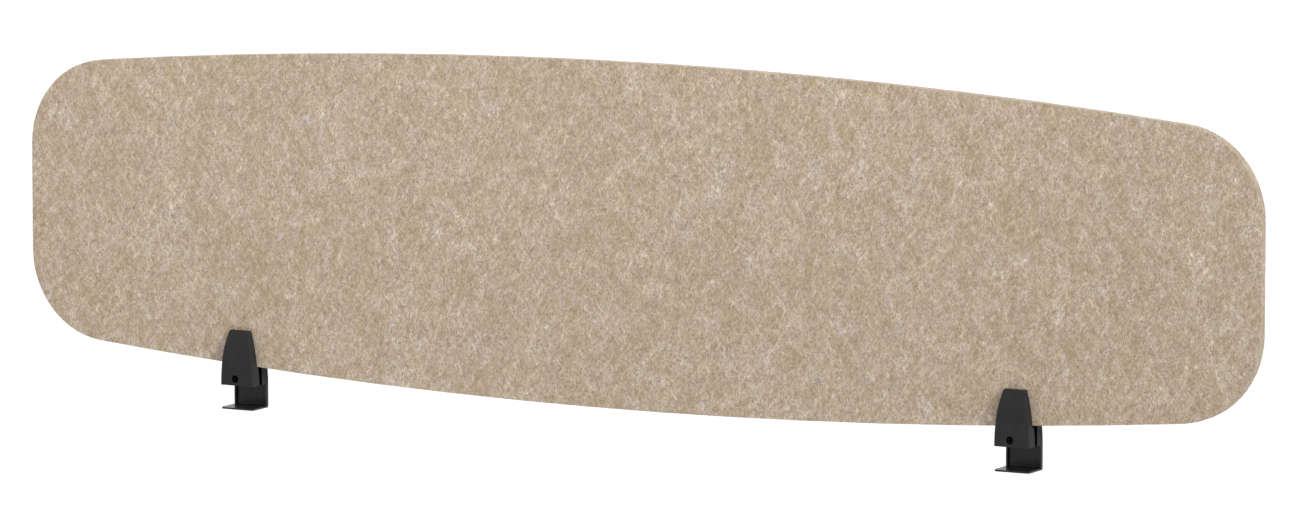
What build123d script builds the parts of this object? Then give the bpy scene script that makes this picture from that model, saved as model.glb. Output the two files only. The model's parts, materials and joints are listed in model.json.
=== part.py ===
from build123d import *
import os

# Acoustic divider screen that clamps to the edge of a desk top.
# Millimetres. Z is up and Z = 0 is the desk's top face. Y = 0 is the desk's edge, with the desk
# on the -Y side, and X = 0 is the middle of the felt board.

# Felt board
panel_length = 1600.0
panel_height = 400.0
panel_thickness = 12.0
panel_end_drop = 43.0
panel_corner_radius = 104.0
panel_edge_round = 0.5
panel_lift = 6.4
panel_set_back = 7.0

# Where the clamps stand along the board
clamp_places = {"left": -511.0, "right": 501.0}

# Clamp jaws, both with the same outline
jaw_height = 64.5
jaw_width = 44.0
jaw_top_width = 26.8
jaw_thickness = 12.0
jaw_lean = 6.3
jaw_lean_height = 34.0
jaw_edge_radius = 1.5
jaw_rim_radius = 1.0
shelf_clearance = 0.1
slit_top_width = 6.8
slit_foot_width = 5.2
heel_height = 1.5
heel_clearance = 0.1

# Grip pads that line the slot
grip_pad_thickness = 1.0
grip_pad_recess = 0.6
grip_pad_inset = 2.0
grip_pad_corner = 1.5

# Foot pads that rest on the desk
foot_pad_thickness = 0.8
foot_pad_recess = 0.4
foot_pad_side_inset = 3.0
foot_pad_corner = 1.5
front_foot_pad_inset = 2.0
front_foot_pad_depth = 12.0
rear_foot_pad_inset = 1.0
rear_foot_pad_depth = 7.0

# Clamp bolt, 5 mm, a little to the left of the jaw's middle, and its washer
bolt_height = 7.7
bolt_aside = 2.2
bolt_diameter = 5.0
bolt_length = 25.0
bolt_tip_chamfer = 0.5
bolt_head_diameter = 8.5
bolt_head_height = 5.0
bolt_head_round = 0.5
bolt_head_depth = 2.5
socket_width = 4.0
socket_depth = 2.5
washer_diameter = 9.0
washer_thickness = 1.0
head_clearance = 0.45
shank_clearance = 0.25
thread_clearance = 0.05

# Sleeve nut behind the hook
sleeve_diameter = 8.0
sleeve_width = 7.0
sleeve_length = 11.0
sleeve_end_wall = 1.0
sleeve_clearance = 0.1
sleeve_head_diameter = 13.0
sleeve_head_thickness = 1.8
sleeve_head_round = 0.6
sleeve_drive_width = 2.0
sleeve_drive_depth = 0.9

# Desk hook, bent from sheet
sheet_thickness = 2.0
desk_gap = 26.0
hook_travel = 12.0
bend_radius = 1.5
hook_corner_radius = 1.2
lip_corner_radius = 4.0
tongue_width = 26.0
tongue_margin = 6.0
tongue_corner_radius = 3.0
tongue_clearance = 0.1

# One overrun serves every cut
overrun = 1.0

# Sizes that follow from those above
panel_back = -panel_set_back
panel_middle = panel_back - panel_thickness / 2
panel_front = panel_back - panel_thickness
panel_centre_height = panel_lift + panel_height / 2
panel_arc_radius = (panel_length**2 / 4 + panel_end_drop**2) / (2 * panel_end_drop)
slot_gap = grip_pad_thickness - grip_pad_recess
jaw_foot = foot_pad_thickness - foot_pad_recess
jaw_top = jaw_foot + jaw_height
jaw_reach = panel_thickness / 2 + jaw_thickness
jaw_front = panel_middle - jaw_reach
jaw_back = panel_middle + jaw_reach
innermost = min(abs(place) for place in clamp_places.values()) - jaw_width / 2
arc_centre_height = panel_lift + panel_arc_radius
shelf_height = arc_centre_height - (panel_arc_radius**2 - innermost**2) ** 0.5 - shelf_clearance
slit_floor = jaw_foot + heel_height
bolt_level = jaw_foot + bolt_height
counterbore_depth = bolt_head_depth + bolt_head_height + washer_thickness
bolt_head_front = jaw_front + bolt_head_depth
bolt_seat = bolt_head_front + bolt_head_height
counterbore_floor = jaw_front + counterbore_depth
hook_back = jaw_back
web_front = hook_back - sheet_thickness
lip_top = -desk_gap
lip_bottom = lip_top - sheet_thickness
slot_radius = sleeve_diameter / 2 + sleeve_clearance
slot_width = sleeve_width + 2 * sleeve_clearance
tongue_top = bolt_level + hook_travel + slot_radius + tongue_margin
grip_pad_foot = shelf_height + grip_pad_inset
grip_pad_top = jaw_top - grip_pad_inset
sleeve_front = jaw_back - sleeve_length


def upright(x, y):
    """The plane that faces the user at depth y, with its origin over x on the desk."""
    return Plane(origin=(x, y, 0), x_dir=(1, 0, 0), z_dir=(0, -1, 0))


def jaw_outline(foot, top, inset):
    """The jaws' outline seen from the front: straight foot and top, bowed sides."""
    half = jaw_width / 2
    bow = (jaw_width - jaw_top_width) / 2
    side_radius = (jaw_height**2 + bow**2) / (2 * bow)
    foot_half = half - side_radius + (side_radius**2 - (foot - jaw_foot) ** 2) ** 0.5 - inset
    top_half = half - side_radius + (side_radius**2 - (top - jaw_foot) ** 2) ** 0.5 - inset
    middle_height = (foot + top) / 2
    waist = half - side_radius + (side_radius**2 - (middle_height - jaw_foot) ** 2) ** 0.5 - inset
    ThreePointArc((foot_half, foot), (waist, middle_height), (top_half, top))
    Line((top_half, top), (-top_half, top))
    ThreePointArc((-top_half, top), (-waist, middle_height), (-foot_half, foot))
    Line((-foot_half, foot), (foot_half, foot))


def jaw_side(out):
    """One jaw's upper edges seen from the side; out is -1 in front of the board and 1 behind it."""
    inner = panel_middle + out * (panel_thickness / 2 + slot_gap)
    outer = panel_middle + out * jaw_reach
    tip = outer - out * jaw_lean
    slit_head = panel_middle + out * slit_top_width / 2
    slit_heel = panel_middle + out * slit_foot_width / 2
    lean_foot = jaw_top - jaw_lean_height
    Line((slit_heel, slit_floor), (slit_head, shelf_height))
    Line((slit_head, shelf_height), (inner, shelf_height))
    Line((inner, shelf_height), (inner, jaw_top))
    Line((inner, jaw_top), (tip, jaw_top))
    TangentArc((outer, lean_foot), (tip, jaw_top), tangent=(0, 1))
    Line((outer, lean_foot), (outer, jaw_foot))


def long_edges(jaw, place, out):
    """The edges between a jaw's outer face and its sides; out is -1 in front of the board."""
    beside = jaw.edges().filter_by(lambda edge: abs(edge.center().X - place) > jaw_top_width / 2)
    return beside.filter_by(lambda edge: out * (edge.center().Y - panel_middle) > jaw_reach - jaw_lean)


os.makedirs("parts", exist_ok=True)

# Felt board, with one arch for the top edge and one for the bottom
with BuildPart() as felt_panel:
    with BuildSketch(upright(0, panel_back)) as board:
        with BuildLine():
            end = panel_length / 2
            crown = panel_centre_height + panel_height / 2
            shoulder = crown - panel_end_drop
            sag = panel_lift + panel_end_drop
            ThreePointArc((-end, shoulder), (0, crown), (end, shoulder))
            Line((end, shoulder), (end, sag))
            ThreePointArc((end, sag), (0, panel_lift), (-end, sag))
            Line((-end, sag), (-end, shoulder))
        make_face()
        fillet(board.vertices(), radius=panel_corner_radius)
    extrude(amount=panel_thickness)
    fillet(felt_panel.faces().filter_by(Axis.Y).edges(), radius=panel_edge_round)
felt_panel.part.label = "felt_panel"
export_step(felt_panel.part, "parts/felt_panel.step")

for side, middle in clamp_places.items():
    across = Plane.YZ.offset(middle)
    bolt_place = middle - bolt_aside

    # Front jaw: leaning face, ledge for the board, heel against the rear jaw, counterbored hole
    with BuildPart() as front_jaw:
        with BuildSketch(across):
            with BuildLine():
                jaw_side(-1)
                heel_end = panel_middle + slit_foot_width / 2 - heel_clearance
                Polyline(
                    (jaw_front, jaw_foot),
                    (heel_end, jaw_foot),
                    (heel_end, slit_floor),
                    (panel_middle - slit_foot_width / 2, slit_floor),
                )
            make_face()
        extrude(amount=jaw_width / 2, both=True)
        with BuildSketch(upright(middle, jaw_back)):
            with BuildLine():
                jaw_outline(jaw_foot, jaw_top, 0)
            make_face()
        extrude(amount=2 * jaw_reach, mode=Mode.INTERSECT)
        fillet(long_edges(front_jaw, middle, -1), radius=jaw_edge_radius)
        rim = front_jaw.faces().sort_by(Axis.Z)[-1].edges().sort_by(Axis.Y)[0:-1]
        fillet(rim, radius=jaw_rim_radius)
        with BuildSketch(upright(middle, panel_front)):
            with BuildLine():
                jaw_outline(grip_pad_foot, grip_pad_top, grip_pad_inset)
            make_face()
        extrude(amount=grip_pad_thickness, mode=Mode.SUBTRACT)
        with BuildSketch(Plane.XY.offset(jaw_foot + foot_pad_recess)):
            pad_middle = jaw_front + front_foot_pad_inset + front_foot_pad_depth / 2
            with Locations((middle, pad_middle)):
                RectangleRounded(jaw_width - 2 * foot_pad_side_inset, front_foot_pad_depth, foot_pad_corner)
        extrude(amount=-foot_pad_recess - overrun, mode=Mode.SUBTRACT)
        with Locations(Plane(origin=(bolt_place, jaw_front, bolt_level), z_dir=(0, -1, 0))):
            CounterBoreHole(
                radius=bolt_diameter / 2 + shank_clearance,
                counter_bore_radius=bolt_head_diameter / 2 + head_clearance,
                counter_bore_depth=counterbore_depth,
                depth=jaw_thickness + panel_thickness / 2,
            )
    front_jaw.part.label = side + "_front_jaw"
    export_step(front_jaw.part, "parts/" + side + "_front_jaw.step")

    # Rear jaw: the same shape behind the board, with a channel in its back for the hook's tongue
    with BuildPart() as rear_jaw:
        with BuildSketch(across):
            with BuildLine():
                jaw_side(1)
                rear_heel = panel_middle + slit_foot_width / 2
                Polyline((jaw_back, jaw_foot), (rear_heel, jaw_foot), (rear_heel, slit_floor))
            make_face()
        extrude(amount=jaw_width / 2, both=True)
        with BuildSketch(upright(middle, jaw_back)):
            with BuildLine():
                jaw_outline(jaw_foot, jaw_top, 0)
            make_face()
        extrude(amount=2 * jaw_reach, mode=Mode.INTERSECT)
        fillet(long_edges(rear_jaw, middle, 1), radius=jaw_edge_radius)
        rim = rear_jaw.faces().sort_by(Axis.Z)[-1].edges().sort_by(Axis.Y)[1:]
        fillet(rim, radius=jaw_rim_radius)
        with BuildSketch(upright(middle, panel_back)):
            with BuildLine():
                jaw_outline(grip_pad_foot, grip_pad_top, grip_pad_inset)
            make_face()
        extrude(amount=-grip_pad_thickness, mode=Mode.SUBTRACT)
        with BuildSketch(Plane.XY.offset(jaw_foot + foot_pad_recess)):
            pad_middle = -rear_foot_pad_inset - rear_foot_pad_depth / 2
            with Locations((middle, pad_middle)):
                RectangleRounded(jaw_width - 2 * foot_pad_side_inset, rear_foot_pad_depth, foot_pad_corner)
        extrude(amount=-foot_pad_recess - overrun, mode=Mode.SUBTRACT)
        with BuildSketch(upright(middle, web_front - tongue_clearance)):
            channel_height = tongue_top + tongue_clearance - jaw_foot + overrun
            with Locations((0, jaw_foot - overrun + channel_height / 2)):
                Rectangle(tongue_width + 2 * tongue_clearance, channel_height)
        extrude(amount=web_front - tongue_clearance - jaw_back - overrun, mode=Mode.SUBTRACT)
        with BuildSketch(upright(bolt_place, web_front)):
            with Locations((0, bolt_level)):
                Circle(slot_radius)
        extrude(amount=jaw_reach, mode=Mode.SUBTRACT)
    rear_jaw.part.label = side + "_rear_jaw"
    export_step(rear_jaw.part, "parts/" + side + "_rear_jaw.step")

    # Grip pads, set in the jaws' inner faces and proud of them
    with BuildPart() as front_grip_pad:
        with BuildSketch(upright(middle, panel_front)):
            with BuildLine():
                jaw_outline(grip_pad_foot, grip_pad_top, grip_pad_inset)
            make_face()
        extrude(amount=grip_pad_thickness)
    front_grip_pad.part.label = side + "_front_grip_pad"
    export_step(front_grip_pad.part, "parts/" + side + "_front_grip_pad.step")

    with BuildPart() as rear_grip_pad:
        with BuildSketch(upright(middle, panel_back)):
            with BuildLine():
                jaw_outline(grip_pad_foot, grip_pad_top, grip_pad_inset)
            make_face()
        extrude(amount=-grip_pad_thickness)
    rear_grip_pad.part.label = side + "_rear_grip_pad"
    export_step(rear_grip_pad.part, "parts/" + side + "_rear_grip_pad.step")

    # Foot pads, set in the jaws' undersides, with their lower faces on the desk
    with BuildPart() as front_foot_pad:
        with BuildSketch(Plane.XY):
            with Locations((middle, jaw_front + front_foot_pad_inset + front_foot_pad_depth / 2)):
                RectangleRounded(jaw_width - 2 * foot_pad_side_inset, front_foot_pad_depth, foot_pad_corner)
        extrude(amount=foot_pad_thickness)
    front_foot_pad.part.label = side + "_front_foot_pad"
    export_step(front_foot_pad.part, "parts/" + side + "_front_foot_pad.step")

    with BuildPart() as rear_foot_pad:
        with BuildSketch(Plane.XY):
            with Locations((middle, -rear_foot_pad_inset - rear_foot_pad_depth / 2)):
                RectangleRounded(jaw_width - 2 * foot_pad_side_inset, rear_foot_pad_depth, foot_pad_corner)
        extrude(amount=foot_pad_thickness)
    rear_foot_pad.part.label = side + "_rear_foot_pad"
    export_step(rear_foot_pad.part, "parts/" + side + "_rear_foot_pad.step")

    # Clamp bolt: round head with a six-sided socket, plain shank in place of the thread
    with BuildPart() as clamp_bolt:
        with BuildSketch(upright(bolt_place, bolt_seat)):
            with Locations((0, bolt_level)):
                Circle(bolt_head_diameter / 2)
        extrude(amount=bolt_head_height)
        fillet(clamp_bolt.edges().sort_by(Axis.Y)[0], radius=bolt_head_round)
        with BuildSketch(upright(bolt_place, bolt_seat)):
            with Locations((0, bolt_level)):
                Circle(bolt_diameter / 2)
        extrude(amount=-bolt_length)
        chamfer(clamp_bolt.edges().sort_by(Axis.Y)[-1], length=bolt_tip_chamfer)
        with BuildSketch(upright(bolt_place, bolt_head_front + socket_depth)):
            with Locations((0, bolt_level)):
                RegularPolygon(radius=socket_width / 2, side_count=6, major_radius=False)
        extrude(amount=socket_depth + overrun, mode=Mode.SUBTRACT)
    clamp_bolt.part.label = side + "_clamp_bolt"
    export_step(clamp_bolt.part, "parts/" + side + "_clamp_bolt.step")

    with BuildPart() as bolt_washer:
        with BuildSketch(upright(bolt_place, counterbore_floor)):
            with Locations((0, bolt_level)):
                Circle(washer_diameter / 2)
                Circle(bolt_diameter / 2 + shank_clearance, mode=Mode.SUBTRACT)
        extrude(amount=washer_thickness)
    bolt_washer.part.label = side + "_bolt_washer"
    export_step(bolt_washer.part, "parts/" + side + "_bolt_washer.step")

    # Sleeve nut: flat-sided barrel that can't turn in the hook's slot, and a low head behind it
    with BuildPart() as sleeve_nut:
        with BuildSketch(upright(bolt_place, jaw_back)):
            with Locations((0, bolt_level)):
                Circle(sleeve_diameter / 2)
                Rectangle(sleeve_width, sleeve_diameter, mode=Mode.INTERSECT)
        extrude(amount=sleeve_length)
        with BuildSketch(upright(bolt_place, jaw_back)):
            with Locations((0, bolt_level)):
                Circle(sleeve_head_diameter / 2)
        extrude(amount=-sleeve_head_thickness)
        fillet(sleeve_nut.edges().sort_by(Axis.Y)[-1], radius=sleeve_head_round)
        with BuildSketch(upright(bolt_place, sleeve_front)):
            with Locations((0, bolt_level)):
                Circle(bolt_diameter / 2 + thread_clearance)
        extrude(amount=sleeve_end_wall - sleeve_length, mode=Mode.SUBTRACT)
        with BuildSketch(upright(bolt_place, jaw_back + sleeve_head_thickness)):
            with Locations((0, bolt_level)):
                Rectangle(sleeve_head_diameter + overrun, sleeve_drive_width)
        extrude(amount=sleeve_drive_depth, mode=Mode.SUBTRACT)
    sleeve_nut.part.label = side + "_sleeve_nut"
    export_step(sleeve_nut.part, "parts/" + side + "_sleeve_nut.step")

    # Desk hook: shallow channel with a lip at its foot and a slotted tongue at its head
    with BuildPart() as desk_hook:
        with BuildSketch(across) as bent_sheet:
            with BuildLine():
                Polyline(
                    (hook_back, jaw_foot),
                    (hook_back, lip_bottom),
                    (jaw_front, lip_bottom),
                    (jaw_front, lip_top),
                    (web_front, lip_top),
                    (web_front, jaw_foot),
                    close=True,
                )
            make_face()
            corner = bent_sheet.vertices().group_by(Axis.Y)[0].sort_by(Axis.X)[-1]
            fillet(corner, radius=bend_radius + sheet_thickness)
            crease = bent_sheet.vertices().filter_by(
                lambda point: abs(point.X - web_front) + abs(point.Y - lip_top) < sheet_thickness / 2
            )
            fillet(crease, radius=bend_radius)
        extrude(amount=jaw_width / 2, both=True)
        for hand in (-1, 1):
            with BuildSketch(across.offset(hand * (jaw_width - sheet_thickness) / 2)):
                flange_height = jaw_foot - lip_top
                with Locations((web_front / 2, lip_top + flange_height / 2)):
                    Rectangle(web_front, flange_height)
            extrude(amount=sheet_thickness / 2, both=True)
        with BuildSketch(Plane.XY.offset(lip_bottom)) as plan:
            with Locations((middle, (jaw_front + hook_back) / 2)):
                Rectangle(jaw_width, hook_back - jaw_front)
            fillet(plan.vertices().group_by(Axis.Y)[0], radius=lip_corner_radius)
            fillet(plan.vertices().group_by(Axis.Y)[-1], radius=hook_corner_radius)
        extrude(amount=jaw_foot - lip_bottom, mode=Mode.INTERSECT)
        with BuildSketch(upright(middle, hook_back)) as tongue:
            tongue_height = tongue_top - jaw_foot
            with Locations((0, jaw_foot + tongue_height / 2)):
                Rectangle(tongue_width, tongue_height)
            fillet(tongue.vertices().group_by(Axis.Y)[-1], radius=tongue_corner_radius)
        extrude(amount=sheet_thickness)
        with BuildSketch(upright(bolt_place, hook_back + overrun)):
            slot_height = hook_travel + 2 * slot_radius
            with Locations((0, bolt_level + hook_travel / 2)):
                SlotOverall(slot_height, 2 * slot_radius, rotation=90)
                Rectangle(slot_width, slot_height, mode=Mode.INTERSECT)
        extrude(amount=sheet_thickness + 2 * overrun, mode=Mode.SUBTRACT)
    desk_hook.part.label = side + "_desk_hook"
    export_step(desk_hook.part, "parts/" + side + "_desk_hook.step")
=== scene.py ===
"""Acoustic divider screen for a desk edge: a pressed felt board held by two black clamps."""

import json
import logging
import math
from dataclasses import dataclass
from enum import Enum
from typing import Callable

import bpy
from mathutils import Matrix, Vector

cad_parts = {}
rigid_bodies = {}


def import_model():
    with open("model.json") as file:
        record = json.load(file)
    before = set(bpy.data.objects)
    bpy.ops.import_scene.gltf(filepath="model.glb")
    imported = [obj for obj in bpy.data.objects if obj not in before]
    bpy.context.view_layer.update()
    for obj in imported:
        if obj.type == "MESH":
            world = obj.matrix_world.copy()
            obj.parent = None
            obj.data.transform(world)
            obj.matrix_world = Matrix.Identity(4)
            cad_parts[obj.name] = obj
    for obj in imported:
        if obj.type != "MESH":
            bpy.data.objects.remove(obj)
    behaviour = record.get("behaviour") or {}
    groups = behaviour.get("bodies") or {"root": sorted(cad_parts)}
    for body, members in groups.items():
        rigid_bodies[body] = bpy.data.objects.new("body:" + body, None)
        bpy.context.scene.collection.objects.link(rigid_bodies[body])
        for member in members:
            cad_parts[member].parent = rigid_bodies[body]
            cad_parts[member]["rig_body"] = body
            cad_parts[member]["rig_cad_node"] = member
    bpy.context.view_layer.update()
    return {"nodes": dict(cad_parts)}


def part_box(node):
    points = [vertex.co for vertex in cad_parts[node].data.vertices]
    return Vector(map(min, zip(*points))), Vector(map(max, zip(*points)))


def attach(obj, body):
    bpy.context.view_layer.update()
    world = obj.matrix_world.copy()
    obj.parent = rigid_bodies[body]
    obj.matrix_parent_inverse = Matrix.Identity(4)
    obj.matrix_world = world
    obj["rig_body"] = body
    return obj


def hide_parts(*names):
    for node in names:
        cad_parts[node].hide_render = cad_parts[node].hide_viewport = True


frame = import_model()

logging.basicConfig(level=logging.INFO, format="%(message)s")
log = logging.getLogger("divider_screen")

MM = 0.001
MERGE_DISTANCE = 0.000002
SMOOTH_ANGLE = math.radians(35.0)

# How far a unit vector has to lie along an axis to count as running along it
ALONG = 0.9

# The middle of a noise texture's range
NOISE_MIDDLE = 0.5

Colour = tuple[float, float, float]
Place = tuple[float, float, float]
WHITE: Colour = (1.0, 1.0, 1.0)


def linear(red: int, green: int, blue: int) -> Colour:
    """Turns a display colour into the linear colour that shaders take.

    Args:
        red: red, 0 to 255.
        green: green, 0 to 255.
        blue: blue, 0 to 255.

    Returns:
        The same colour in linear light.
    """
    def one(value: int) -> float:
        """One channel in linear light."""
        share = value / 255
        return share / 12.92 if share <= 0.04045 else ((share + 0.055) / 1.055) ** 2.4

    return (one(red), one(green), one(blue))


class Side(Enum):
    """The two clamps, by the ends of the board they stand near."""

    LEFT = "left"
    RIGHT = "right"


class Slot(Enum):
    """The record's material slots."""

    FELT = "felt"
    PLASTIC = "black_plastic"
    HOOK_STEEL = "black_coated_steel"
    SCREW_STEEL = "black_screw_steel"
    ZINC = "zinc_steel"
    RUBBER = "black_rubber"


CLAMP_SLOTS = {
    "front_jaw": Slot.PLASTIC,
    "rear_jaw": Slot.PLASTIC,
    "desk_hook": Slot.HOOK_STEEL,
    "clamp_bolt": Slot.SCREW_STEEL,
    "sleeve_nut": Slot.SCREW_STEEL,
    "bolt_washer": Slot.ZINC,
}


class Graph:
    """A small helper that adds and links nodes in one node tree."""

    def __init__(self, tree: bpy.types.NodeTree) -> None:
        """Keeps the tree.

        Args:
            tree: the node tree to build in.
        """
        self.tree = tree

    def node(self, kind: str, **values: object) -> bpy.types.Node:
        """Adds a node and sets its properties and its sockets' values.

        Args:
            kind: the node's type name.
            **values: properties by name, or input sockets by name with spaces as underscores.

        Returns:
            The new node.
        """
        made = self.tree.nodes.new(kind)
        for name, value in values.items():
            if hasattr(made, name):
                setattr(made, name, value)
            else:
                self.feed(made, name.replace("_", " "), value)
        return made

    def feed(self, node: bpy.types.Node, socket: object, value: object) -> None:
        """Links an output to a socket, or sets the socket's own value.

        Args:
            node: the node that takes the value.
            socket: the input's name or number.
            value: an output socket, a number, or a tuple.
        """
        target = node.inputs[socket]
        if isinstance(value, bpy.types.NodeSocket):
            self.tree.links.new(value, target)
        elif isinstance(value, tuple) and len(value) == 3 and target.type == "RGBA":
            target.default_value = (*value, 1.0)
        else:
            target.default_value = value

    def math(
        self, operation: str, first: object, second: object = 0.0, clamp: bool = False
    ) -> bpy.types.NodeSocket:
        """Adds a Math node.

        Args:
            operation: the node's operation.
            first: the first value or output.
            second: the second value or output.
            clamp: whether the result is kept between 0 and 1.

        Returns:
            The node's output.
        """
        made = self.tree.nodes.new("ShaderNodeMath")
        made.operation = operation
        made.use_clamp = clamp
        self.feed(made, 0, first)
        self.feed(made, 1, second)
        return made.outputs[0]

    def remap(
        self, value: object, low: float, high: float, to_low: float = 0.0, to_high: float = 1.0
    ) -> bpy.types.NodeSocket:
        """Maps one range of a value onto another.

        Args:
            value: the output to map.
            low: the range's lower end.
            high: the range's upper end.
            to_low: what the lower end becomes.
            to_high: what the upper end becomes.

        Returns:
            The mapped output.
        """
        made = self.tree.nodes.new("ShaderNodeMapRange")
        made.interpolation_type = "LINEAR"
        self.feed(made, "Value", value)
        ends = {"From Min": low, "From Max": high, "To Min": to_low, "To Max": to_high}
        for name, number in ends.items():
            self.feed(made, name, number)
        return made.outputs["Result"]

    def mix(self, share: object, first: object, second: object, blend: str = "MIX") -> bpy.types.NodeSocket:
        """Mixes two colours.

        Args:
            share: how much of the second, a number or an output.
            first: the first colour or output.
            second: the second colour or output.
            blend: the blend mode.

        Returns:
            The mixed colour.
        """
        made = self.tree.nodes.new("ShaderNodeMix")
        made.data_type = "RGBA"
        made.blend_type = blend
        self.feed(made, "Factor", share)
        self.feed(made, 6, first)
        self.feed(made, 7, second)
        return made.outputs[2]


class Effect:
    """A node group that several finishes share, built once and placed with its own values."""

    def __init__(self, name: str, inputs: dict[str, tuple[str, object]], outputs: dict[str, str]) -> None:
        """Makes the group and its sockets.

        Args:
            name: the group's name.
            inputs: socket name to (short type, default value).
            outputs: socket name to short type.
        """
        self.tree = bpy.data.node_groups.new(name, "ShaderNodeTree")
        sockets = self.tree.interface
        for label, (kind, default) in inputs.items():
            socket = sockets.new_socket(name=label, in_out="INPUT", socket_type="NodeSocket" + kind)
            if default is not None:
                socket.default_value = default
        for label, kind in outputs.items():
            sockets.new_socket(name=label, in_out="OUTPUT", socket_type="NodeSocket" + kind)
        self.graph = Graph(self.tree)
        self.given = self.tree.nodes.new("NodeGroupInput").outputs
        self.result = self.tree.nodes.new("NodeGroupOutput").inputs

    def out(self, name: str, value: bpy.types.NodeSocket) -> None:
        """Links one output of the group."""
        self.tree.links.new(value, self.result[name])

    def place(self, graph: Graph, **values: object) -> bpy.types.Node:
        """Places the group in a material.

        Args:
            graph: the material's graph.
            **values: the group's inputs, with spaces as underscores.

        Returns:
            The group's node.
        """
        made = graph.tree.nodes.new("ShaderNodeGroup")
        made.node_tree = self.tree
        for name, value in values.items():
            graph.feed(made, name.replace("_", " "), value)
        return made


def object_point(graph: Graph) -> bpy.types.NodeSocket:
    """The surface point in the piece's own coordinates."""
    return graph.tree.nodes.new("ShaderNodeTexCoord").outputs["Object"]


def seen_rays(graph: Graph) -> bpy.types.NodeSocket:
    """Tells what is looked at from what only lights the pieces.

    Args:
        graph: the graph of the material or the world.

    Returns:
        1 for camera, glossy and transmission rays, and 0 for all others.
    """
    path = graph.tree.nodes.new("ShaderNodeLightPath").outputs
    indirect = graph.math("MAXIMUM", path["Is Glossy Ray"], path["Is Transmission Ray"])
    return graph.math("MAXIMUM", path["Is Camera Ray"], indirect)


def fine_grain() -> Effect:
    """The tiny uneven texture of moulded and coated surfaces.

    Returns:
        A group that gives a height, a roughness shift and a tone mask.
    """
    pit_share = 0.6
    tone_low, tone_high = 0.3, 0.7
    made = Effect(
        "fine grain",
        {"Point": ("Vector", None), "Scale": ("Float", 1500.0), "Cloud Scale": ("Float", 40.0)},
        {"Height": "Float", "Roughness Shift": "Float", "Tone": "Float"},
    )
    g = made.graph
    point, scale, cloud_scale = made.given["Point"], made.given["Scale"], made.given["Cloud Scale"]
    grain = g.node("ShaderNodeTexNoise", Vector=point, Scale=scale, Detail=3.0, Roughness=0.6)
    pits = g.node("ShaderNodeTexVoronoi", Vector=point, Scale=scale, feature="F1")
    cloud = g.node("ShaderNodeTexNoise", Vector=point, Scale=cloud_scale, Detail=4.0, Roughness=0.6)
    height = g.math("ADD", grain.outputs[0], g.math("MULTIPLY", pits.outputs["Distance"], pit_share))
    made.out("Height", height)
    made.out("Roughness Shift", g.math("SUBTRACT", cloud.outputs[0], NOISE_MIDDLE))
    made.out("Tone", g.remap(cloud.outputs[0], tone_low, tone_high))
    return made


def edge_wear_and_highlight() -> Effect:
    """Rubbed edges, made lighter partly as wear and partly as a painted edge highlight: there the normal of a
    rounded surface leaves the real one.

    Returns:
        A group that gives a mask of the rubbed, lighter edges (wear and painted highlight), broken up by
        noise.
    """
    flat_match, edge_match = 0.995, 0.93
    patch_low, patch_high, least_shown = 0.36, 0.62, 0.15
    # The group's mask lightens edges, partly as wear and partly as a painted edge highlight
    made = Effect(
        "edge wear",
        {
            "Point": ("Vector", None), "Radius": ("Float", 0.0009),
            "Break Up": ("Float", 260.0), "Amount": ("Float", 0.6),
        },
        {"Mask": "Float"},
    )
    g = made.graph
    rounded = g.node("ShaderNodeBevel", samples=6)
    g.feed(rounded, "Radius", made.given["Radius"])
    real = g.tree.nodes.new("ShaderNodeNewGeometry").outputs["Normal"]
    same = g.node("ShaderNodeVectorMath", operation="DOT_PRODUCT")
    g.feed(same, 0, rounded.outputs[0])
    g.feed(same, 1, real)
    edge = g.remap(same.outputs["Value"], flat_match, edge_match)
    point, break_up = made.given["Point"], made.given["Break Up"]
    patch = g.node("ShaderNodeTexNoise", Vector=point, Scale=break_up, Detail=4.0, Roughness=0.65)
    shown = g.math("MULTIPLY", edge, g.remap(patch.outputs[0], patch_low, patch_high, least_shown, 1.0))
    made.out("Mask", g.math("MULTIPLY", shown, made.given["Amount"]))
    return made


@dataclass(frozen=True)
class Effects:
    """The effects that the hard finishes share."""

    grain: Effect
    wear_and_highlight: Effect


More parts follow.
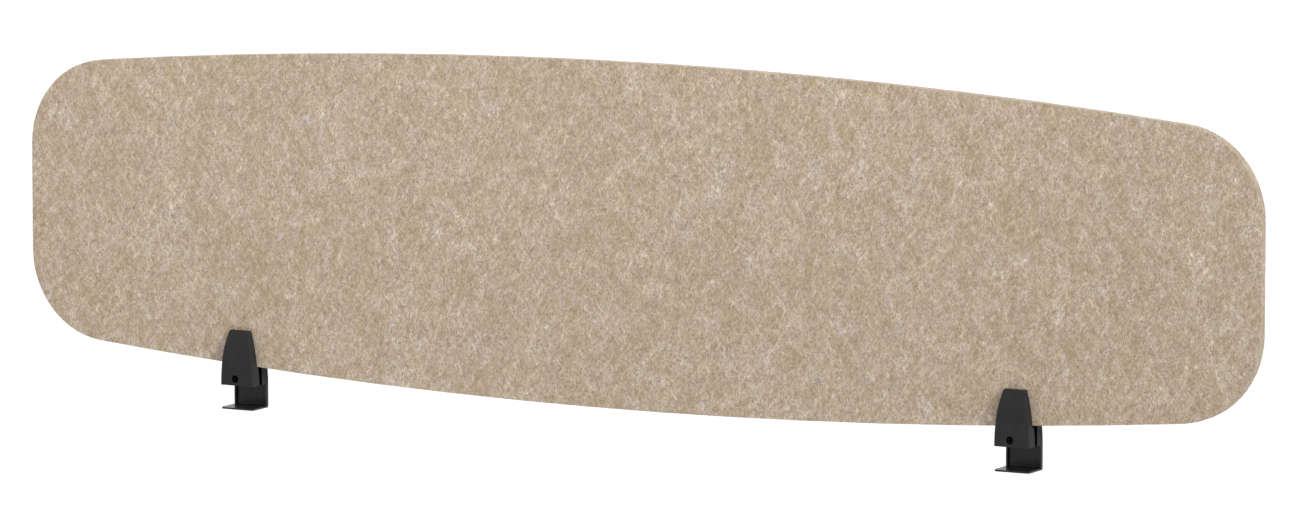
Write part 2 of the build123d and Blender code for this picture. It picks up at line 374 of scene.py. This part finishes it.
@dataclass(frozen=True)
class Finish:
    """A plain surface: moulded plastic, powder coat, oxide, zinc or rubber."""

    name: str
    base: Colour
    lift: Colour
    roughness: float
    swing: float = 0.12
    metallic: float = 0.0
    specular: float = 0.5
    grain_scale: float = 1500.0
    cloud_scale: float = 55.0
    grain_height: float = 0.00004
    bump: float = 0.4
    # Lighter colour of rubbed edges: partly wear, partly a painted edge highlight
    rubbed_and_highlit: Colour = linear(74, 73, 71)
    rubbed_share: float = 0.75
    wear_and_highlight: float = 0.45
    # Near-black painted shade for the recesses, where shade falls
    painted_shade_colour: Colour = (0.003, 0.003, 0.003)

    def painted_recess_shade(self, g: Graph, point: bpy.types.NodeSocket) -> object:
        """A mask of painted shade in the surface's recesses; most finishes have none."""
        return 0.0

    def material(self, effects: Effects) -> bpy.types.Material:
        """Builds the material.

        Args:
            effects: the shared effects.

        Returns:
            The finished material.
        """
        made = bpy.data.materials.new(self.name)
        made.use_nodes = True
        g = Graph(made.node_tree)
        shader = made.node_tree.nodes["Principled BSDF"]
        point = object_point(g)
        fine = effects.grain.place(g, Point=point, Scale=self.grain_scale, Cloud_Scale=self.cloud_scale)
        worn_and_highlit = effects.wear_and_highlight.place(g, Point=point, Amount=self.wear_and_highlight).outputs["Mask"]
        # Painted shade: recesses get a near-black colour, and full roughness
        recess_shade_mask = self.painted_recess_shade(g, point)
        colour = g.mix(fine.outputs["Tone"], self.base, self.lift)
        # Lighter edges: partly wear, partly a painted highlight
        colour = g.mix(worn_and_highlit, colour, self.rubbed_and_highlit)
        g.feed(shader, "Base Color", g.mix(recess_shade_mask, colour, self.painted_shade_colour))
        rough = g.math("MULTIPLY_ADD", fine.outputs["Roughness Shift"], self.swing)
        rough.node.inputs[2].default_value = self.roughness
        rough = g.math("MULTIPLY", rough, g.remap(worn_and_highlit, 0.0, 1.0, 1.0, self.rubbed_share))
        g.feed(shader, "Roughness", g.math("MAXIMUM", rough, recess_shade_mask))
        shader.inputs["Metallic"].default_value = self.metallic
        shader.inputs["Specular IOR Level"].default_value = self.specular
        height = fine.outputs["Height"]
        bump = g.node("ShaderNodeBump", Strength=self.bump, Distance=self.grain_height, Height=height)
        g.feed(shader, "Normal", bump.outputs[0])
        return made


@dataclass(frozen=True)
class JawFinish(Finish):
    """Moulded plastic, with painted shade: near-black colour painted on the slit's walls below the board and
    on the bolt's counterbore wall, where shade falls.
    """

    board_middle: float = -13.0 * MM
    slit_half: float = 2.9 * MM
    slit_flare: float = 0.042
    slit_fade: float = 0.1 * MM
    bolt_places: tuple[float, float] = (-513.2 * MM, 498.8 * MM)
    bolt_height: float = 8.1 * MM
    bore_radius: float = 4.95 * MM
    bore_fade: float = 0.4 * MM
    front_skin: float = -30.7 * MM

    def painted_recess_shade(self, g: Graph, point: bpy.types.NodeSocket) -> object:
        """A mask of painted shade on the slit's walls and the counterbore's wall, where shade falls.

        Args:
            g: the material's graph.
            point: the surface point.

        Returns:
            The mask's output.
        """
        x, y, z = g.node("ShaderNodeSeparateXYZ", Vector=point).outputs
        off = g.math("ABSOLUTE", g.math("SUBTRACT", y, self.board_middle))
        half = g.math("ADD", g.math("MULTIPLY", z, self.slit_flare), self.slit_half)
        slit = g.remap(g.math("SUBTRACT", off, half), 0.0, self.slit_fade, 1.0, 0.0)
        asides = (g.math("ABSOLUTE", g.math("SUBTRACT", x, place)) for place in self.bolt_places)
        aside = g.math("MINIMUM", *asides)
        above = g.math("SUBTRACT", z, self.bolt_height)
        squares = (g.math("MULTIPLY", way, way) for way in (aside, above))
        reach = g.math("SQRT", g.math("ADD", *squares))
        bore = g.math("LESS_THAN", reach, self.bore_radius)
        inside = g.remap(y, self.front_skin, self.front_skin + self.bore_fade)
        return g.math("MAXIMUM", slit, g.math("MULTIPLY", bore, inside))


@dataclass(frozen=True)
class Layer:
    """One layer of noise in the felt: its angle is in degrees, and a thread width draws threads."""

    scale: float
    weight: float
    angle: float = 0.0
    length: float = 1.0
    curl: float = 0.0
    thread: float = 0.0


def fibre_layer() -> Effect:
    """A layer of noise about zero, whose grain may run along a direction or draw thin threads.

    Returns:
        A group that gives the layer's value and its threads.
    """
    made = Effect(
        "fibre layer",
        {
            "Point": ("Vector", None),
            "Turn": ("Vector", (0.0, 0.0, 0.0)),
            "Length": ("Vector", (1.0, 1.0, 1.0)),
            "Scale": ("Float", 100.0),
            "Curl": ("Float", 0.0),
            "Thread": ("Float", 0.05),
        },
        {"Value": "Float", "Threads": "Float"},
    )
    g = made.graph
    turned = g.node("ShaderNodeMapping", vector_type="TEXTURE", Vector=made.given["Point"])
    g.feed(turned, "Rotation", made.given["Turn"])
    g.feed(turned, "Scale", made.given["Length"])
    field = g.node("ShaderNodeTexNoise", Vector=turned.outputs[0], Detail=0.0)
    g.feed(field, "Scale", made.given["Scale"])
    g.feed(field, "Distortion", made.given["Curl"])
    value = g.math("SUBTRACT", field.outputs[0], NOISE_MIDDLE)
    made.out("Value", value)
    near = g.math("DIVIDE", g.math("ABSOLUTE", value), made.given["Thread"])
    made.out("Threads", g.math("SUBTRACT", 1.0, near, clamp=True))
    return made


@dataclass(frozen=True)
class FeltFinish:
    """Pressed felt of tan, olive and pale fibres."""

    name: str = "pressed felt"
    body: Colour = linear(180, 162, 140)
    dark: Colour = linear(146, 128, 92)
    light: Colour = linear(212, 199, 188)
    warm: Colour = (1.0, 1.0, 0.92)
    cool: Colour = (0.99, 0.995, 1.09)
    shade: Colour = (0.33, 0.30, 0.26)
    shine: Colour = (1.57, 1.64, 1.77)
    tone_span: float = 0.5
    hue_scale: float = 47.0
    hue_curl: float = 1.2
    hue_span: float = 0.5
    hair_span: float = 0.12
    hair_least: float = 0.5
    hair_most: float = 1.25
    detail_span: float = 1.0
    rough_span: float = 0.5
    rough_least: float = 0.86
    specular: float = 0.15
    sheen: float = 0.12
    sheen_roughness: float = 0.6
    bump: float = 0.4
    bump_height: float = 0.0005
    clouds: tuple[Layer, ...] = (
        Layer(9.0, 0.08),
        Layer(34.0, 0.23, -30.0, 1.6, 1.4),
        Layer(78.0, 0.30, 38.0, 2.6, 2.2),
        Layer(84.0, 0.30, -34.0, 2.6, 2.2),
        Layer(130.0, 0.28, 12.0, 2.2, 1.6),
    )
    fibres: tuple[Layer, ...] = (
        Layer(1900.0, 0.5, -10.0, 3.0, 0.8),
        Layer(620.0, 1.0, 3.0, 1.8, 0.3),
        Layer(380.0, 0.34, -28.0, 3.5, 0.9),
        Layer(400.0, 0.34, 34.0, 3.5, 0.9),
        Layer(330.0, 0.22, 80.0, 3.5, 1.1),
    )
    hairs: tuple[Layer, ...] = (
        Layer(95.0, 0.40, 24.0, 2.4, 1.5, 0.03),
        Layer(110.0, 0.37, -38.0, 2.4, 1.6, 0.03),
        Layer(160.0, 0.28, -8.0, 2.2, 1.2, 0.04),
        Layer(170.0, -0.34, 60.0, 2.2, 1.3, 0.04),
        Layer(230.0, -0.30, -18.0, 2.0, 1.2, 0.05),
    )

    def material(self) -> bpy.types.Material:
        """Builds the felt.

        Returns:
            The finished material.
        """
        made = bpy.data.materials.new(self.name)
        made.use_nodes = True
        g = Graph(made.node_tree)
        shader = made.node_tree.nodes["Principled BSDF"]
        point = object_point(g)
        effect = fibre_layer()

        def summed(layers: tuple[Layer, ...]) -> bpy.types.NodeSocket:
            """Adds the layers' values, or their threads, by weight.

            Args:
                layers: the layers.

            Returns:
                The sum's output.
            """
            total: object = 0.0
            for row in layers:
                placed = effect.place(g, Point=point, Scale=row.scale, Curl=row.curl, Thread=row.thread or 1.0)
                placed.inputs["Turn"].default_value = (0.0, math.radians(row.angle), 0.0)
                placed.inputs["Length"].default_value = (1.0, 1.0, row.length)
                value = placed.outputs["Threads" if row.thread else "Value"]
                total = g.math("ADD", total, g.math("MULTIPLY", value, row.weight))
            return total

        tone = summed(self.clouds)
        fine = summed(self.fibres)
        denser = g.remap(tone, -self.hair_span, self.hair_span, self.hair_least, self.hair_most)
        hair = g.math("MULTIPLY", summed(self.hairs), denser)
        colour = g.mix(g.remap(tone, -self.tone_span, 0.0, 1.0, 0.0), self.body, self.dark)
        colour = g.mix(g.remap(tone, 0.0, self.tone_span), colour, self.light)
        hue = effect.place(g, Point=point, Scale=self.hue_scale, Curl=self.hue_curl).outputs["Value"]
        tint = g.mix(g.remap(hue, -self.hue_span, self.hue_span), self.warm, self.cool)
        colour = g.mix(1.0, colour, tint, "MULTIPLY")
        detail = g.math("ADD", fine, hair)
        grain = g.mix(g.remap(detail, -self.detail_span, 0.0, 1.0, 0.0), WHITE, self.shade)
        grain = g.mix(g.remap(detail, 0.0, self.detail_span), grain, self.shine)
        g.feed(shader, "Base Color", g.mix(1.0, colour, grain, "MULTIPLY"))
        rough = g.remap(detail, -self.rough_span, self.rough_span, 1.0, self.rough_least)
        g.feed(shader, "Roughness", rough)
        shader.inputs["Specular IOR Level"].default_value = self.specular
        shader.inputs["Sheen Weight"].default_value = self.sheen
        shader.inputs["Sheen Roughness"].default_value = self.sheen_roughness
        bump = g.node("ShaderNodeBump", Strength=self.bump, Distance=self.bump_height, Height=detail)
        g.feed(shader, "Normal", bump.outputs[0])
        return made


def clear_selection() -> None:
    """Leaves edit mode and deselects everything."""
    if bpy.context.object and bpy.context.object.mode != "OBJECT":
        bpy.ops.object.mode_set(mode="OBJECT")
    bpy.ops.object.select_all(action="DESELECT")


def block(middle: Place, size: Place) -> bpy.types.Object:
    """Makes a box and leaves it in edit mode.

    Args:
        middle: the box's middle.
        size: its length along each axis.

    Returns:
        The box.
    """
    clear_selection()
    bpy.ops.mesh.primitive_cube_add(size=1.0, location=middle, scale=size)
    made = bpy.context.object
    bpy.ops.object.transform_apply(location=True, rotation=True, scale=True)
    bpy.ops.object.mode_set(mode="EDIT")
    return made


def select_where(made: bpy.types.Object, kind: str, test: Callable[[Vector, Vector], bool]) -> None:
    """Selects faces or edges of the mesh in edit mode by their place and direction.

    Args:
        made: the object in edit mode.
        kind: "FACE" or "EDGE".
        test: gets the middle, and the face's normal or the edge's direction, and says whether to
            select it.
    """
    bpy.ops.mesh.select_all(action="DESELECT")
    bpy.ops.mesh.select_mode(type=kind)
    bpy.ops.object.mode_set(mode="OBJECT")
    mesh = made.data
    if kind == "FACE":
        for face in mesh.polygons:
            face.select = test(face.center.copy(), face.normal.copy())
    else:
        for edge in mesh.edges:
            first, last = (mesh.vertices[i].co for i in edge.vertices)
            edge.select = test((first + last) / 2, (last - first).normalized())
    bpy.ops.object.mode_set(mode="EDIT")


def bisect_all(cuts: list[float], axis: int) -> None:
    """Cuts the whole mesh in edit mode by planes square to an axis.

    Args:
        cuts: where along the axis.
        axis: 0, 1 or 2.
    """
    for cut in cuts:
        bpy.ops.mesh.select_all(action="SELECT")
        place = [0.0, 0.0, 0.0]
        normal = [0.0, 0.0, 0.0]
        place[axis], normal[axis] = cut, 1.0
        bpy.ops.mesh.bisect(plane_co=place, plane_no=normal)


def settle(made: bpy.types.Object, name: str, material: bpy.types.Material) -> None:
    """Leaves edit mode, puts the piece's place in its mesh, cleans it and dresses it.

    Args:
        made: the piece.
        name: its name.
        material: its finish.
    """
    if made.mode != "EDIT":
        bpy.ops.object.mode_set(mode="EDIT")
    bpy.ops.mesh.select_all(action="SELECT")
    bpy.ops.mesh.remove_doubles(threshold=MERGE_DISTANCE)
    bpy.ops.mesh.normals_make_consistent(inside=False)
    bpy.ops.object.mode_set(mode="OBJECT")
    bpy.ops.object.transform_apply(location=True, rotation=True, scale=True)
    bpy.ops.object.shade_smooth_by_angle(angle=SMOOTH_ANGLE)
    made.name = name
    made.data.name = name
    made.data.materials.clear()
    made.data.materials.append(material)
    log.info("%s: %d faces", name, len(made.data.polygons))


@dataclass
class FeltBoard:
    """The pressed felt board."""

    node: str = "felt_panel"
    body: str = "screen"
    step: float = 8.0 * MM
    flat_angle: float = 0.0005
    unevenness: float = 0.3 * MM
    lump: float = 14.0 * MM
    lump_depth: int = 2

    def build(self, felt: bpy.types.Material) -> None:
        """Makes the board's own surface over its solid.

        Args:
            felt: the felt's material.
        """
        clear_selection()
        source = frame["nodes"][self.node]
        source.select_set(True)
        bpy.context.view_layer.objects.active = source
        bpy.ops.object.duplicate()
        made = bpy.context.object
        bpy.ops.object.parent_clear(type="CLEAR_KEEP_TRANSFORM")
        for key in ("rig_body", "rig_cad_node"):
            if key in made:
                del made[key]
        bpy.ops.object.mode_set(mode="EDIT")
        bpy.ops.mesh.select_all(action="SELECT")
        bpy.ops.mesh.remove_doubles(threshold=MERGE_DISTANCE)
        bpy.ops.mesh.select_all(action="SELECT")
        bpy.ops.mesh.dissolve_limited(angle_limit=self.flat_angle)
        low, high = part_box(self.node)
        for axis, step in ((0, self.step), (2, self.step), (1, self.step / 2)):
            length = high[axis] - low[axis]
            count = round(length / step)
            bisect_all([low[axis] + length * k / count for k in range(1, count)], axis)
        settle(made, "felt_board", felt)
        self.uneven(made)
        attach(made, self.body)
        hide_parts(self.node)

    def uneven(self, made: bpy.types.Object) -> None:
        """Gives the pressed surface and the cut edges their slight unevenness.

        Args:
            made: the board.
        """
        lumps = bpy.data.textures.new("felt lumps", "CLOUDS")
        lumps.noise_scale = self.lump
        lumps.noise_depth = self.lump_depth
        push = made.modifiers.new("unevenness", "DISPLACE")
        push.texture = lumps
        push.texture_coords = "LOCAL"
        push.strength = self.unevenness
        push.mid_level = NOISE_MIDDLE
        bpy.ops.object.modifier_apply(modifier=push.name)


@dataclass
class Clamp:
    """One clamp: its hard pieces get their finishes, and its rubber pads are made."""

    side: Side
    jaw_width: float = 44.0 * MM
    jaw_top_width: float = 26.8 * MM
    jaw_height: float = 64.5 * MM
    jaw_foot: float = 0.4 * MM
    grip_inset: float = 2.0 * MM
    groove: float = 0.25 * MM
    foot_ribs: int = 9
    grip_ribs: int = 9
    foot_corner: float = 1.5 * MM
    corner_steps: int = 5

    @property
    def near(self) -> float:
        """How close to a plane a face or edge lies that counts as on it."""
        return self.groove / 4

    def dress(self, finishes: dict[Slot, bpy.types.Material]) -> None:
        """Gives each hard CAD piece its material.

        Args:
            finishes: the material of each slot.
        """
        for piece, slot in CLAMP_SLOTS.items():
            target = frame["nodes"][f"{self.side.value}_{piece}"]
            target.data.materials.clear()
            target.data.materials.append(finishes[slot])
            log.info("%s: %s", target.name, slot.value)

    def pads(self, rubber: bpy.types.Material) -> None:
        """Makes the clamp's four rubber pads.

        Args:
            rubber: the pads' material.
        """
        jaw_body = f"{self.side.value}_front_jaw"
        self.foot_pad("front_foot_pad", jaw_body, rubber)
        self.foot_pad("rear_foot_pad", "screen", rubber)
        self.grip_pad("front_grip_pad", jaw_body, 1.0, rubber)
        self.grip_pad("rear_grip_pad", "screen", -1.0, rubber)

    def finish_pad(self, made: bpy.types.Object, piece: str, body: str, rubber: bpy.types.Material) -> None:
        """Settles a pad and lets it stand for its solid.

        Args:
            made: the pad.
            piece: the pad's name in the clamp.
            body: the body that it rides on.
            rubber: its material.
        """
        node = f"{self.side.value}_{piece}"
        settle(made, f"{node}_rubber", rubber)
        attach(made, body)
        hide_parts(node)

    def foot_pad(self, piece: str, body: str, rubber: bpy.types.Material) -> None:
        """A thin pad with round corners and ribs on its underside.

        Args:
            piece: the pad's name in the clamp.
            body: the body that it rides on.
            rubber: its material.
        """
        low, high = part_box(f"{self.side.value}_{piece}")
        size, middle = high - low, (high + low) / 2
        made = block(
            (middle.x, middle.y, middle.z + self.groove / 2),
            (size.x, size.y, size.z - self.groove),
        )
        select_where(made, "EDGE", lambda place, way: abs(way.z) > ALONG)
        bpy.ops.mesh.bevel(offset=self.foot_corner, segments=self.corner_steps, affect="EDGES")
        steps = 2 * self.foot_ribs + 1
        inner = size.x - 2 * self.foot_corner
        lines = [middle.x - inner / 2 + inner * k / steps for k in range(steps + 1)]
        bisect_all(lines, 0)
        underside = low.z + self.groove

        def on_rib(place: Vector, way: Vector) -> bool:
            """Whether a face of the underside lies in a rib's strip."""
            strip = math.floor((place.x - lines[0]) / (inner / steps))
            below = way.z < -ALONG and abs(place.z - underside) < self.near
            return below and strip % 2 == 1 and 0 < strip < steps - 1

        select_where(made, "FACE", on_rib)
        bpy.ops.mesh.extrude_region_move(TRANSFORM_OT_translate={"value": (0, 0, -self.groove)})
        self.finish_pad(made, piece, body, rubber)

    def half_width(self, height: float) -> float:
        """The grip pad's half width at a height above the desk.

        Args:
            height: the height in metres.

        Returns:
            The half width in metres.
        """
        half = self.jaw_width / 2
        bow = (self.jaw_width - self.jaw_top_width) / 2
        radius = (self.jaw_height**2 + bow**2) / (2 * bow)
        return half - radius + math.sqrt(radius**2 - (height - self.jaw_foot) ** 2) - self.grip_inset

    def grip_pad(self, piece: str, body: str, out: float, rubber: bpy.types.Material) -> None:
        """A thin tapered pad with ribs across it, towards the felt.

        Args:
            piece: the pad's name in the clamp.
            body: the body that it rides on.
            out: 1 where the ribs face +Y, -1 where they face -Y.
            rubber: its material.
        """
        low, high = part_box(f"{self.side.value}_{piece}")
        size, middle = high - low, (high + low) / 2
        made = block(
            (middle.x, middle.y - out * self.groove / 2, middle.z),
            (self.jaw_width, size.y - self.groove, size.z),
        )
        steps = 2 * self.grip_ribs + 1
        rows = [low.z + size.z * k / steps for k in range(steps + 1)]
        bisect_all(rows[1:-1], 2)
        for row in rows:
            share = 2 * self.half_width(row) / self.jaw_width
            select_where(made, "EDGE", lambda place, way: abs(place.z - row) < self.near)
            bpy.ops.transform.resize(value=(share, 1.0, 1.0), center_override=(middle.x, middle.y, row))
        inner = high.y - self.groove if out > 0 else low.y + self.groove

        def on_rib(place: Vector, way: Vector) -> bool:
            """Whether a face towards the felt lies in a rib's strip."""
            strip = math.floor((place.z - low.z) / (size.z / steps))
            return way.y * out > ALONG and abs(place.y - inner) < self.near and strip % 2 == 1

        select_where(made, "FACE", on_rib)
        bpy.ops.mesh.extrude_region_move(TRANSFORM_OT_translate={"value": (0, out * self.groove, 0)})
        self.finish_pad(made, piece, body, rubber)


@dataclass(frozen=True)
class Sun:
    """A far lamp: the side that it shines from, its width in degrees and its power."""

    name: str
    side: Place
    width: float
    power: float


@dataclass
class Studio:
    """Floor, lights, world and camera."""

    camera_place: Place = (4.884563, -8.889027, 1.485828)
    camera_yaw: float = -0.5004
    camera_pitch: float = 0.1281
    camera_near: float = 0.1
    camera_far: float = 100.0
    focal_pixels: float = 8934.16
    picture_width: float = 1300.0
    sensor: float = 36.0
    floor_height: float = -0.74
    floor_size: float = 60.0
    floor_tone: float = 0.82
    floor_roughness: float = 0.9
    floor_glow: float = 0.37
    world_light: float = 0.3
    world_seen: float = 1.0
    suns: tuple[Sun, ...] = (
        Sun("key", (0.815, -0.395, 0.420), 13.0, 2.2),
        Sun("back", (-0.35, 0.80, 0.50), 40.0, 1.3),
    )
    strip_place: Place = (-0.25, -0.95, 1.65)
    strip_aim: Place = (-0.25, 0.0, 0.3)
    strip_length: float = 3.8
    strip_depth: float = 0.5
    strip_power: float = 23.0

    def build(self) -> None:
        """Builds the whole studio."""
        self.camera()
        self.floor()
        self.world()
        self.lamps()

    def camera(self) -> None:
        """Stands the camera where the photograph's was."""
        lens = bpy.data.cameras.new("camera")
        lens.sensor_width = self.sensor
        lens.lens = self.sensor * self.focal_pixels / self.picture_width
        lens.clip_start, lens.clip_end = self.camera_near, self.camera_far
        made = bpy.data.objects.new("camera", lens)
        bpy.context.scene.collection.objects.link(made)
        made.location = self.camera_place
        ahead = Vector((
            math.sin(self.camera_yaw) * math.cos(self.camera_pitch),
            math.cos(self.camera_yaw) * math.cos(self.camera_pitch),
            -math.sin(self.camera_pitch),
        ))
        made.rotation_euler = ahead.to_track_quat("-Z", "Y").to_euler()
        bpy.context.scene.camera = made

    def floor(self) -> None:
        """Lays a plain pale floor at the height of the room's floor under a desk."""
        clear_selection()
        bpy.ops.mesh.primitive_plane_add(size=self.floor_size, location=(0, 0, self.floor_height))
        made = bpy.context.object
        made.name = "floor"
        material = bpy.data.materials.new("pale floor")
        material.use_nodes = True
        g = Graph(material.node_tree)
        out = material.node_tree.nodes["Material Output"]
        shader = material.node_tree.nodes["Principled BSDF"]
        tone = self.floor_tone
        shader.inputs["Base Color"].default_value = (tone, tone, tone, 1.0)
        shader.inputs["Roughness"].default_value = self.floor_roughness
        glow = g.node("ShaderNodeEmission", Strength=g.math("MULTIPLY", seen_rays(g), self.floor_glow))
        both = g.node("ShaderNodeAddShader")
        g.feed(both, 0, shader.outputs[0])
        g.feed(both, 1, glow.outputs[0])
        material.node_tree.links.new(both.outputs[0], out.inputs["Surface"])
        made.data.materials.append(material)

    def world(self) -> None:
        """A white background, and plain light from all round."""
        world = bpy.data.worlds.new("studio")
        bpy.context.scene.world = world
        world.use_nodes = True
        g = Graph(world.node_tree)
        back = world.node_tree.nodes["Background"]
        g.feed(back, "Strength", g.remap(seen_rays(g), 0.0, 1.0, self.world_light, self.world_seen))
        g.feed(back, "Color", WHITE)

    def lamps(self) -> None:
        """A sun from the camera's right, a wide one from behind, and a long weak lamp above the front."""
        for row in self.suns:
            sun = bpy.data.lights.new(row.name, "SUN")
            sun.angle, sun.energy = math.radians(row.width), row.power
            self.hang(sun, Vector(row.side), Vector((0, 0, 0)))
        strip = bpy.data.lights.new("strip", "AREA")
        strip.shape, strip.energy = "RECTANGLE", self.strip_power
        strip.size, strip.size_y = self.strip_length, self.strip_depth
        self.hang(strip, Vector(self.strip_place), Vector(self.strip_aim))

    def hang(self, lamp: bpy.types.Light, place: Vector, aim: Vector) -> None:
        """Hangs a lamp and points it.

        Args:
            lamp: the lamp.
            place: where it hangs, or for a sun the side it shines from.
            aim: what it points at.
        """
        made = bpy.data.objects.new(lamp.name, lamp)
        bpy.context.scene.collection.objects.link(made)
        made.location = place
        made.visible_glossy = False
        made.rotation_euler = (aim - place).to_track_quat("-Z", "Y").to_euler()


FINISHES = {
    Slot.PLASTIC: JawFinish(
        "black moulded plastic", linear(44, 44, 44), linear(50, 50, 50), 0.46, specular=0.045,
    ),
    Slot.HOOK_STEEL: Finish(
        "black powder coat", linear(19, 19, 19), linear(25, 25, 25), 0.28, specular=0.26, wear_and_highlight=0.3,
    ),
    Slot.SCREW_STEEL: Finish(
        "black oxide", linear(7, 7, 7), linear(13, 13, 12), 0.6, specular=0.05, wear_and_highlight=0.2,
    ),
    Slot.ZINC: Finish(
        "zinc plate", linear(170, 170, 166), linear(190, 190, 186), 0.35, metallic=1.0,
        # Lighter zinc edges: partly wear, partly a painted highlight
        rubbed_and_highlit=linear(205, 205, 202),
    ),
    Slot.RUBBER: Finish(
        "black rubber", linear(26, 26, 26), linear(36, 36, 36), 0.8, specular=0.2, wear_and_highlight=0.2,
    ),
}


def main() -> None:
    """Builds the pieces in order and dresses them."""
    bpy.context.scene.view_settings.view_transform = "Standard"
    effects = Effects(fine_grain(), edge_wear_and_highlight())
    felt = FeltFinish().material()
    finishes = {slot: finish.material(effects) for slot, finish in FINISHES.items()}
    FeltBoard().build(felt)
    for side in Side:
        clamp = Clamp(side)
        clamp.dress(finishes)
        clamp.pads(finishes[Slot.RUBBER])
    Studio().build()


if __name__ == "__main__":
    main()
